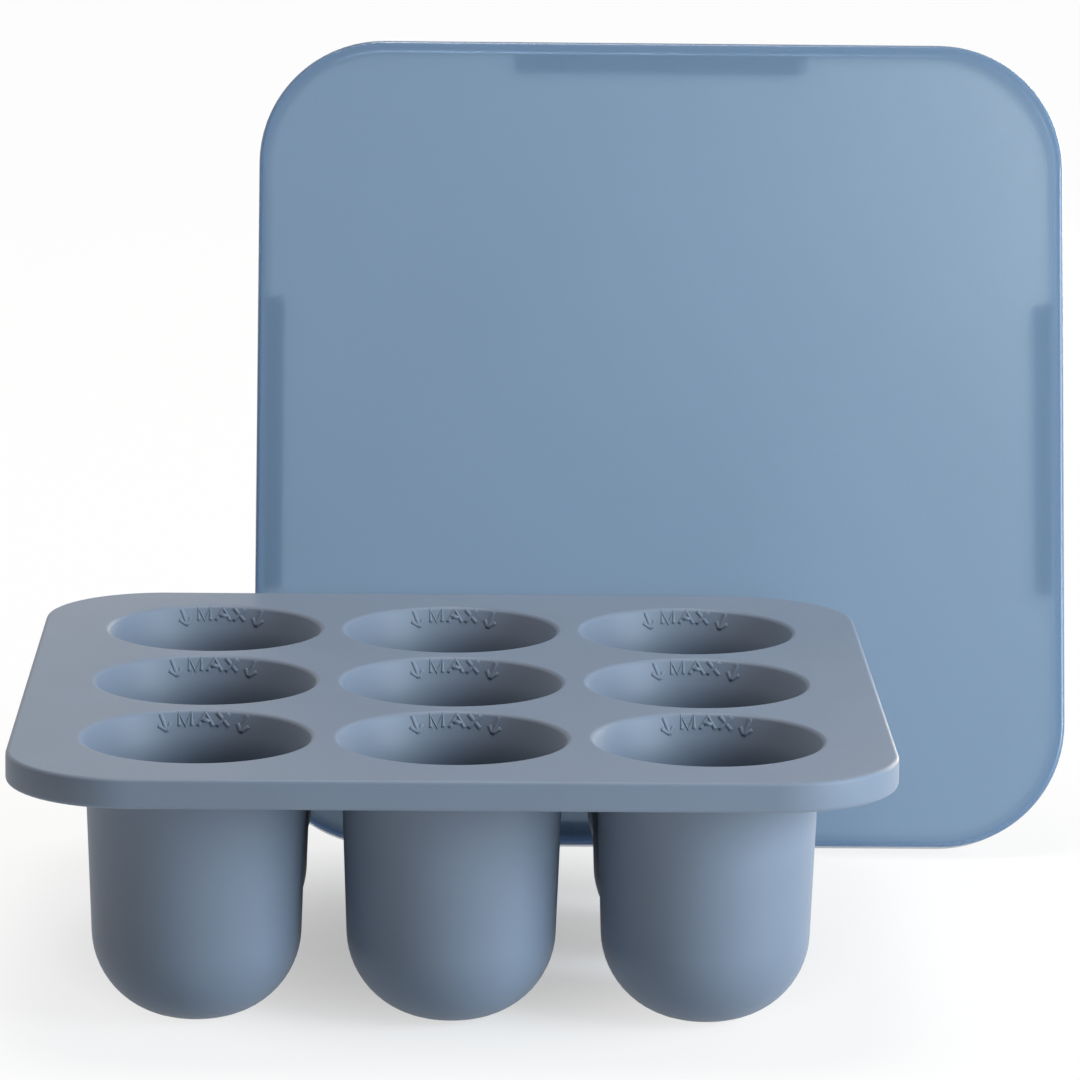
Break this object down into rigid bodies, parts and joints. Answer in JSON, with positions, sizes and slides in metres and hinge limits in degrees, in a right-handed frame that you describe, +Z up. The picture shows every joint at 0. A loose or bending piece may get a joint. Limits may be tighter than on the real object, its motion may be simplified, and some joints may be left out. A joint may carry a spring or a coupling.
{
  "type": "baby food freezer tray",
  "caption": "Soft silicone freezer tray: round-bottomed cups hang in a square grid from a flat rim. Its translucent square lid with side catches is off, and stands on edge behind it.",
  "frame": {"origin": "centre of the middle cup's flat foot, on the surface the tray stands on", "axes": "+Z up; -Y is the front; +Y is the back, where the lid stands; +X is to the right seen from the front"},
  "size_m": [0.238, 0.2381, 0.1852],
  "materials": {
    "silicone": "matt moulded silicone, slate blue",
    "frosted_plastic": "frosted translucent polypropylene, blue"
  },
  "bodies": {
    "tray": {"rim": "silicone", "cup_front_left": "silicone", "cup_middle_left": "silicone", "cup_back_left": "silicone", "cup_front_centre": "silicone", "cup_middle_centre": "silicone", "cup_back_centre": "silicone", "cup_front_right": "silicone", "cup_middle_right": "silicone", "cup_back_right": "silicone"},
    "lid": {"lid": "frosted_plastic"}
  },
  "joints": [
    {"name": "lid_lift", "type": "slide", "parent": "tray", "child": "lid", "axis": [0, 0.2924, 0.9563], "range_m": [0, 0.1]}
  ]
}
